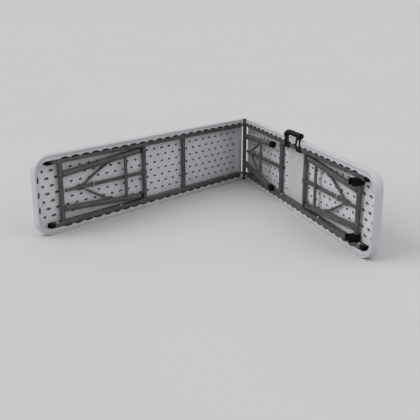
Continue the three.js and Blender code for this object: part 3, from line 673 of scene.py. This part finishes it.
def knuckle(half, side, near, name):
    """A hinge eye round the axle, with its arm in the rail."""
    build = Build(HALF[half])
    y0, y1 = sorted((side * near, side * (near + KNUCKLE_WIDTH)))
    outer, inner, sides = 13.3, 10.0, 40
    profile = [(y0, inner), (y0, outer - 0.8), (y0 + 0.8, outer),
               (y1 - 0.8, outer), (y1, outer - 0.8), (y1, inner)]
    rings = [[(r * math.cos(a), y, r * math.sin(a)) for a in (2 * math.pi * k / sides for k in range(sides))]
             for y, r in profile]
    build.loft(rings, closed=True)
    top = RAIL_TOP - 2.0
    arm = rounded_rect(2.8, 4.4, 1.0, 3)
    rings = [[(x, (y0 + y1) / 2 + u, top - 4.5 + v * s) for u, v in arm]
             for x, s in ((11, 1.0), (16, 1.0), (40, 1.0), (84, 1.0), (85.5, 0.8))]
    build.loft(rings)
    return build.done(f"{half}_hinge_eye_{name}", STEEL, f"{half}_half", "steel",
                      [f"{half}_hinge_knuckle_{name}"])


SCREWS_AT, SCREW_Z = (130, 446, 798, 1114), -9


def half_steel(half):
    for name, side in (("upper", 1), ("lower", -1)):
        rail(half, side, name)
        rail_plug(half, side, name)
        knuckle(half, side, KNUCKLES_AT[half], name)
        build = Build(HALF[half])
        for i, x in enumerate(SCREWS_AT):
            screw_head(build, x, side, 0.5 + i)
        build.done(f"{half}_rail_screws_{name}", ZINC, f"{half}_half", "zinc", [f"{half}_rail_screw_{name}"])
    for node, x in CROSSBARS:
        crossbar(half, node, x)


# ---- leg sets ----
def leg_y(x, length):
    return SPREAD_TOP + (SPREAD_FOOT - SPREAD_TOP) * x / length


def leg_set(name, half, length, bar_at, pivot_half, way):
    """Legs, fork, brace and ring. way is -1 for legs that lie towards the hinge and 1 for away from it."""
    base = HALF[half]
    pivot = Vector(JOINTS[f"{name}_leg_fold"]["pos_m"])
    if way < 0:
        leg = Frame(pivot, -base.x, base.z)
    else:
        c, s = math.cos(MIDDLE_SWING), math.sin(MIDDLE_SWING)
        leg = Frame(pivot, base.x * c + base.z * s, base.z * c - base.x * s)
    body = f"{name}_leg"
    foot_radius, foot_length = FEET[name]
    build = Build(leg)
    build.pipe((0, -pivot_half, 0), (0, pivot_half, 0), PIVOT_RADIUS, 36, wall=1.6, up=(1, 0, 0))
    for side in (-1, 1):
        a = Vector((0, side * SPREAD_TOP, 0))
        along = Vector((length, side * (SPREAD_FOOT - SPREAD_TOP), 0)).normalized()
        weld_ring(build, a + along * (PIVOT_RADIUS + 1.2), along, LEG_RADIUS - 0.6, 1.7, seed=3 + side)
    build.done(f"{name}_pivot_bar", STEEL, body, "steel", [f"{name}_leg_pivot_tube"])
    for label, side in (("upper", 1), ("lower", -1)):
        build = Build(leg)
        a = Vector((PIVOT_RADIUS * 0.75, side * leg_y(PIVOT_RADIUS * 0.75, length), 0))
        b = Vector((length - foot_length, side * leg_y(length - foot_length, length), 0))

        def section(share, i):
            r = LEG_RADIUS if i > 1 else (LEG_RADIUS - 1.4 if i == 0 else LEG_RADIUS - 0.3)
            return [(r * math.cos(t), r * math.sin(t)) for t in (2 * math.pi * k / 36 for k in range(36))]
        d = (b - a).normalized()
        total = (b - a).length
        path = [a, a + d * 2, a + d * 5] + [a + d * (5 + (total - 5) * k / 20) for k in range(1, 21)]
        build.tube([tuple(p) for p in path], section)
        build.done(f"{name}_leg_round_{label}", STEEL, body, "steel", [f"{name}_leg_tube_{label}"])
        build = Build(leg)
        start = b + d * 0.2
        r, top = foot_radius, foot_length
        profile = [(0, LEG_RADIUS - 1), (0, r - 0.5), (0.5, r), (3.2, r), (3.7, r - 0.5), (4.2, r - 0.5),
                   (4.7, r)]
        if top > 20:
            profile += [(15.5, r), (16, r - 0.4), (17, r - 0.4), (17.5, r)]
        profile += [(top - 2.6, r), (top - 1.4, r - 0.8), (top - 0.6, r - 2.2),
                    (top - 0.5, r - 4), (top - 1.2, r - 5), (top - 1.2, 0)]
        build.lathe(start, d, profile, 40)
        build.done(f"{name}_leg_foot_{label}", BLACK, body, "black", [f"{name}_leg_foot_cap_{label}"])
    build = Build(leg)
    reach = leg_y(bar_at, length) - 9.0
    build.loft([[(bar_at + u * size, y, 7.5 + v * size) for u, v in rounded_rect(7.5, 4.6, 4.2, 6)]
                for y, size in ((-reach, 0.9), (-reach + 0.6, 1), (0, 1), (reach - 0.6, 1), (reach, 0.9))])
    build.done(f"{name}_leg_bar", STEEL, body, "steel", [f"{name}_leg_crossbar"])

    # fork, brace and ring
    pin = Vector(JOINTS[f"{name}_fork_turn"]["pos_m"])
    anchor = Vector(JOINTS[f"{name}_brace_turn"]["pos_m"])
    direction = Vector(JOINTS[f"{name}_ring_slide"]["axis"]).normalized()
    reach = max((v.co - anchor).dot(direction) for v in frame["nodes"][f"{name}_brace_tube"].data.vertices)
    tail = BRACE_TAIL[name]
    joint_at = reach / MM - tail
    elbow = anchor + direction * joint_at * MM
    fork = base.turned(pin, elbow - pin)
    fork_length = (elbow - pin).length / MM
    at_leg = leg_y((pin - pivot).dot(leg.x) / MM, length) - LEG_RADIUS - 1.2 - 3
    at_brace = BRACE_HALF + 0.4
    for label, side in (("upper", 1), ("lower", -1)):
        build = Build(fork)
        neck = fork_length - 22
        slope = (at_leg - at_brace) / (neck - 9)

        def middle(x):
            return at_leg - slope * (x - 9)
        body0, body1 = 9 + 8 / slope + 9, neck - 22
        stations = [(-8.6, at_leg + 1.5, 1.5, 1.6), (-7.8, at_leg + 1.5, 1.5, 3.2),
                    (-5.4, at_leg + 1.5, 1.5, 4.6), (-2, at_leg + 1.5, 1.5, 5), (6, at_leg + 1.5, 1.5, 5),
                    (10, at_leg + 1.3, 1.6, 5),
                    (body0 - 8, middle(body0 - 8) + 2.6, 2.8, 4.9), (body0, middle(body0) + 4.8, 4.9, 4.9),
                    (body0 + 4, middle(body0 + 4) + 5.2, 5.3, 4.9),
                    (body1 - 6, middle(body1 - 6) + 5.2, 5.3, 4.9),
                    (body1, middle(body1) + 5.0, 5.0, 4.9), (neck - 8, middle(neck - 8) + 2.9, 2.8, 4.9),
                    (neck + 1, at_brace + 1.7, 1.7, 5), (neck + 6, at_brace + 1.6, 1.5, 5),
                    (fork_length + 3, at_brace + 1.6, 1.5, 5), (fork_length + 6, at_brace + 1.6, 1.5, 4.4),
                    (fork_length + 8, at_brace + 1.6, 1.5, 3.0), (fork_length + 8.7, at_brace + 1.6, 1.4, 1.4)]
        build.loft([[(x, side * (y + u), v)
                     for u, v in rounded_rect(w, h, min(w, h) * 0.92 if w > 2.5 else 0.6, 5)]
                    for x, y, w, h in stations])
        for cx, cy in ((0, at_leg - 0.2), (fork_length, at_brace + 3)):
            build.lathe((cx, side * cy, 0), (0, side, 0) if cx else (0, -side, 0),
                        [(0, 4.2), (0.7, 4.0), (1.5, 2.9), (1.9, 1.4), (2.0, 0)], 20, up=(1, 0, 0))
        build.lathe((0, side * (at_leg + 2.8), 0), (0, side, 0), [(0, 2.4), (3.2, 2.4), (3.2, 0)], 16,
                    up=(1, 0, 0))
        build.done(f"{name}_fork_arm_{label}", STEEL, f"{name}_fork", "steel",
                   [f"{name}_fork_strap_{label}"])
    brace = base.turned(anchor, direction)
    build = Build(brace)
    total, w = joint_at + tail, BRACE_HALF
    stations = [(8.5, w - 0.4, 4.0), (12, w - 0.1, 4.9), (22, w, 5), (60, w, 5), (130, w, 5), (200, w, 5),
                (240, w, 5),
                (joint_at - 26, w, 5), (joint_at - 16, w - 0.1, 4.2), (joint_at, w - 0.1, 4.0),
                (joint_at + 12, w - 0.1, 4.2), (joint_at + 18, w - 0.8, 4.6), (joint_at + 24, w - 1.6, 4.9),
                (total - 16, 5.2, 5), (total - 10, 5.8, 3.2), (total - 3, 6.4, 2.2), (total - 1, 5.8, 2.0)]
    rings = [[(x, u, v) for u, v in rounded_rect(w, h, min(2.6, h - 0.3), 4)] for x, w, h in stations]
    build.loft(rings)
    sides = 36
    outer, inner = CROSSBAR_RADIUS + 2.9, CROSSBAR_RADIUS + 0.3
    w = BRACE_HALF - 0.2
    profile = [(-w, inner), (-w, outer - 0.6), (0.6 - w, outer),
               (w - 0.6, outer), (w, outer - 0.6), (w, inner)]
    build.loft([[(r * math.cos(a), y, r * math.sin(a))
                 for a in (2 * math.pi * k / sides for k in range(sides))]
                for y, r in profile], closed=True)
    build.done(f"{name}_brace_bar", STEEL, f"{name}_brace", "steel", [f"{name}_brace_tube"])
    ring = frame["nodes"][f"{name}_lock_ring"].data.vertices
    at = sum(((v.co - anchor).dot(direction) for v in ring)) / len(ring) / MM
    build = Build(brace)
    wire, sides = 1.6, 12
    loop = rounded_rect(11, 8, 6.2, 8)
    rings = []
    for k, (u, v) in enumerate(loop):
        pu, pv = loop[k - 1]
        qu, qv = loop[(k + 1) % len(loop)]
        t = Vector((0, qu - pu, qv - pv)).normalized()
        n = Vector((0, t.z, -t.y))
        rings.append([tuple(Vector((at, u, v)) + (n * math.cos(b) + Vector((1, 0, 0)) * math.sin(b)) * wire)
                      for b in (2 * math.pi * j / sides for j in range(sides))])
    build.loft(rings, closed=True)
    build.done(f"{name}_wire_ring", ZINC, f"{name}_lock_ring", "zinc", [f"{name}_lock_ring"])
    return leg


# ---- plates cut from an outline, with soft edges ----
def plate(build, outline, y0, y1, soft):
    """A plate across y, its outline in x and z."""
    def ring(y, grow):
        return [(p, y, q) for p, q in offset(outline, grow)]
    k = soft * 0.3
    build.loft([ring(y0, -soft), ring(y0 + k, -k), ring(y0 + soft, 0), ring(y1 - soft, 0), ring(y1 - k, -k),
                ring(y1, -soft)])


def arc(cx, cy, r, a0, a1, n):
    return [(cx + r * math.cos(math.radians(a0 + (a1 - a0) * k / n)),
             cy + r * math.sin(math.radians(a0 + (a1 - a0) * k / n))) for k in range(n + 1)]


def clip(leg, side, name):
    """A black clip clamped on the pivot bar with a mouth for the other half's bar."""
    mouth, cheek, other = PIVOT_RADIUS + 0.8, PIVOT_RADIUS + 4.8, 28
    tip = other + 10
    outline = arc(0, 0, cheek, 180, 360, 28)
    outline += [(cheek, 0.3 * tip), (cheek, 0.6 * tip), (cheek, tip - 2), (cheek - 1.2, tip),
                (mouth + 1.0, tip), (mouth, tip - 1.2), (mouth, other + 3)]
    outline += arc(0, other, mouth, 0, -180, 28)
    outline += [(-mouth, other + 3), (-mouth, tip - 1.2), (-mouth - 1.0, tip), (-cheek + 1.2, tip),
                (-cheek, tip - 2), (-cheek, 0.6 * tip), (-cheek, 0.3 * tip)]
    build = Build(leg)
    y = side * CLIP_AT
    for near, far in ((-12, -8.4), (-7.6, 7.6), (8.4, 12)):
        plate(build, outline if far - near > 4 else offset(outline, -0.01), y + near, y + far, 0.7)
    shrink = [(px * 0.94, py * 0.97) for px, py in outline]
    build.loft([[(p, y + e, q) for p, q in shrink] for e in (-11, 11)])
    build.done(f"closure_clip_{name}_body", BLACK, "right_leg", "black", [f"closure_clip_{name}"])


def handle():
    """A round grip held by two slotted arms that hook round the rail, one ending in an elbow."""
    place, edge = HALF["right"], WIDTH / 2
    grip, lip = edge + GRIP_STANDOFF, RAIL_IN - 0.6
    strips = {
        -1: (([(69, grip - 12), (69.6, edge + 4), (69.2, edge - 6), (69.2, RAIL_OUT - 4), (69.4, lip + 2),
               (69.7, lip - 3)], 9.0),
             ([(50, grip - 11), (50, edge + 6), (48, edge - 4), (46.5, RAIL_OUT - 4), (46.5, lip + 9),
               (50, lip + 4), (58, lip + 1.5), (70, lip + 1.5)], 3.6)),
        1: (([(67, grip - 3), (65, edge + 6), (63, edge - 6), (62, RAIL_OUT - 6), (63, lip + 3),
              (66, lip - 2.5)], 3.4),
            ([(52, grip - 9), (40, edge + 6), (33, edge - 4), (30.3, RAIL_OUT + 7), (31.5, RAIL_OUT - 3),
              (38, lip + 6), (52, lip + 1.8), (66, lip + 1.5), (74, lip + 1.5)], 4.6))}
    for name, end in (("inner", -1), ("outer", 1)):
        build = Build(place)
        for points, half_width in strips[end]:
            fine = smooth(points, 8)
            rings = []
            for i, (x, y) in enumerate(fine):
                a, b = fine[max(i - 1, 0)], fine[min(i + 1, len(fine) - 1)]
                t = Vector((b[0] - a[0], b[1] - a[1], 0)).normalized()
                thick = 2.2 if y < edge + ELBOW_CLEAR else min(6.5, 2.2 + (y - edge - ELBOW_CLEAR) * 0.7)
                rings.append([(HANDLE_AT + end * (x - t.y * u), y + t.x * u, v)
                              for u, v in rounded_rect(half_width, thick, 1.7, 4)])
            build.loft(rings)
        build.loft([[(HANDLE_AT + end * x, lip - 1.9 + u, -4.4 + v)
                     for u, v in rounded_rect(1.8 - less, 7.4 - less, 0.9, 4)]
                    for x, less in ((ARM_INNER + 14, 0.8), (ARM_INNER + 14.8, 0.0), (ARM_OUTER - 0.8, 0.0),
                                    (ARM_OUTER, 0.8))])
        if end > 0:
            build.lathe((HANDLE_AT + GRIP_HALF + 0.3, grip, 0), (1, 0, 0),
                        [(0, 8), (0, 11.2), (0.6, 11.9), (3.6, 11.9), (4.6, 11.2), (5.0, 10.0), (5.0, 8.6),
                         (4.1, 8.2), (4.1, 4.4), (4.9, 4.0), (4.9, 0)], 40)
        else:
            bend = [(HANDLE_AT - (ELBOW_START + 0.3) * (1 - t) ** 2 - ELBOW_SIDE * (2 * t * (1 - t) + t * t),
                     grip + (edge + ELBOW_CLEAR - grip) * t * t, 0) for t in (k / 22 for k in range(23))]

            def section(share, i):
                r = 10.9 - 0.35 * math.cos(share * 18 * math.pi) ** 8 - (0.8 if i in (0, 22) else 0)
                return [(r * math.cos(a), r * math.sin(a)) for a in (2 * math.pi * k / 40 for k in range(40))]
            build.tube(bend, section)
        build.done(f"handle_hook_{name}", BLACK, "carry_handle", "black", [f"handle_arm_{name}"])
    build = Build(place)
    length, ribs = GRIP_HALF + ELBOW_START, 9
    profile = [(0, 9.8), (0.6, 10.5)]
    for k in range(ribs):
        start, stop = (3 + (length - 6) * (k + share) / ribs for share in (0, 1))
        profile += [(start + 0.5, 10.85), ((start + stop) / 2, 11.0), (stop - 0.5, 10.85), (stop, 10.4)]
    profile += [(length - 0.6, 10.5), (length, 9.8)]
    build.lathe((HANDLE_AT - ELBOW_START, grip, 0), (1, 0, 0), profile, 44)
    build.done("handle_grip_bar", BLACK, "carry_handle", "black", ["handle_grip"])


def smooth(points, per):
    """Catmull-Rom points through the given ones."""
    pts = [np.array(p, float) for p in points]
    pts = [2 * pts[0] - pts[1]] + pts + [2 * pts[-1] - pts[-2]]
    out = []
    for i in range(1, len(pts) - 2):
        a, b, c, d = pts[i - 1:i + 3]
        for k in range(per):
            t = k / per
            out.append(0.5 * (2 * b + (c - a) * t + (2 * a - 5 * b + 4 * c - d) * t * t
                              + (3 * b - a - 3 * c + d) * t ** 3))
    out.append(pts[-2])
    return [tuple(float(v) for v in p) for p in out]


def label():
    """A blank paper sheet on the recess floor, its corners very slightly lifted."""
    build = Build(HALF["right"])
    cols, rows, l, w = 22, 28, LABEL_LENGTH / 2, LABEL_WIDTH / 2

    def height(u, v):
        corner = max(0.0, abs(u) - 0.82) * max(0.0, abs(v) - 0.86) * 30
        return FLOOR_Z + 0.45 + corner + 0.10 * math.sin(u * 7 + v * 3) * math.sin(v * 9 - u)
    verts, faces = [], []
    for lift in (0.0, 0.35):
        for i in range(cols + 1):
            for j in range(rows + 1):
                u, v = 2 * i / cols - 1, 2 * j / rows - 1
                verts.append((LABEL_AT + l * u, w * v, height(u, v) + lift))
    n, step = (cols + 1) * (rows + 1), rows + 1
    for i in range(cols):
        for j in range(rows):
            a = i * step + j
            faces += [[a, a + 1, a + step + 1, a + step],
                      [n + a, n + a + step, n + a + step + 1, n + a + 1]]
    border = [i * step for i in range(cols + 1)] + [cols * step + j for j in range(1, rows + 1)]
    border += [i * step + rows for i in range(cols - 1, -1, -1)] + [j for j in range(rows - 1, 0, -1)]
    for a, b in zip(border, border[1:] + border[:1]):
        faces.append([a, b, n + b, n + a])
    build.add(verts, faces).done("label_sheet", PAPER, "right_half", "label", ["blank_label"])


def axle_cap(leg, side, name):
    build = Build(leg)
    start = AXLE_HALF + 0.3
    build.lathe((0, side * start, 0), (0, side, 0),
                [(0, 9.8), (0, 10.6), (0.4, 11.0), (2.4, 11.0), (3.6, 10.2), (4.8, 7.6), (5.4, 3.5), (5.5, 0)],
                40, up=(1, 0, 0))
    build.done(f"axle_end_cap_{name}", BLACK, "middle_leg", "black", [f"hinge_axle_cap_{name}"])


for half in ("left", "right"):
    shell(half)
    half_steel(half)
leg_set("left", "left", OUTER_LEG, OUTER_BAR_AT, OUTER_PIVOT_HALF, -1)
right_leg = leg_set("right", "right", OUTER_LEG, OUTER_BAR_AT, OUTER_PIVOT_HALF, -1)
middle_leg = leg_set("middle", "right", MIDDLE_LEG, MIDDLE_BAR_AT, AXLE_HALF, 1)
for name, side in (("upper", 1), ("lower", -1)):
    clip(right_leg, side, name)
    axle_cap(middle_leg, side, name)
handle()
label()


# ---- floor, light and camera ----
def floor():
    mesh = bpy.data.meshes.new("floor")
    bm = bmesh.new()
    size = 40
    corners = [bm.verts.new((x * size, y * size, -0.0006)) for x, y in ((-1, -1), (1, -1), (1, 1), (-1, 1))]
    bm.faces.new(corners)
    bm.to_mesh(mesh)
    bm.free()
    made = bpy.data.objects.new("floor", mesh)
    bpy.context.scene.collection.objects.link(made)
    look, nodes, links, bsdf, where = node_look("studio_floor")
    cloud = noise(nodes, links, where, 0.8, 2.0)
    base = ramp(nodes, links, cloud, [(0.3, FLOOR_COLOUR), (0.7, tuple(c * 1.03 for c in FLOOR_COLOUR))])
    links.new(base, bsdf.inputs["Base Color"])
    bsdf.inputs["Roughness"].default_value = 0.85
    bsdf.inputs["Specular IOR Level"].default_value = 0.2
    mesh.materials.append(look)


FLOOR_COLOUR = (0.58, 0.58, 0.58)


def soft_sun(name, from_where, spread, strength):
    """A large distant soft box: from_where points at it and spread is its size in degrees."""
    data = bpy.data.lights.new(name, "SUN")
    data.angle, data.energy = math.radians(spread), strength
    made = bpy.data.objects.new(name, data)
    made.rotation_euler = (-Vector(from_where)).to_track_quat("-Z", "Y").to_euler()
    bpy.context.scene.collection.objects.link(made)


floor()
world = bpy.data.worlds.new("studio")
bpy.context.scene.world = world
bpy.context.scene.view_settings.view_transform = "Standard"
world.use_nodes = True
world.node_tree.nodes["Background"].inputs[0].default_value = (0.985, 0.99, 1.0, 1)
world.node_tree.nodes["Background"].inputs[1].default_value = 0.58
soft_sun("key", (-0.85, -0.45, 0.75), 45, 1.0)
soft_sun("top", (-0.1, -0.2, 1), 100, 0.6)
soft_sun("fill", (0.9, -0.1, 0.6), 60, 0.2)

VIEW_PITCH = math.radians(16.888)
VIEW_WAY = Vector((-0.2095, 0.9778))
camera_data = bpy.data.cameras.new("camera")
camera = bpy.data.objects.new("camera", camera_data)
bpy.context.scene.collection.objects.link(camera)
camera_data.sensor_width, camera_data.lens = 36, 36 * 658 / 420
camera.location = (HINGE.x + 0.5037, HINGE.y - 3.1639, 0.8100)
look_way = Vector((VIEW_WAY.x * math.cos(VIEW_PITCH), VIEW_WAY.y * math.cos(VIEW_PITCH),
                   -math.sin(VIEW_PITCH)))
camera.rotation_euler = look_way.to_track_quat("-Z", "Y").to_euler()
bpy.context.scene.camera = camera
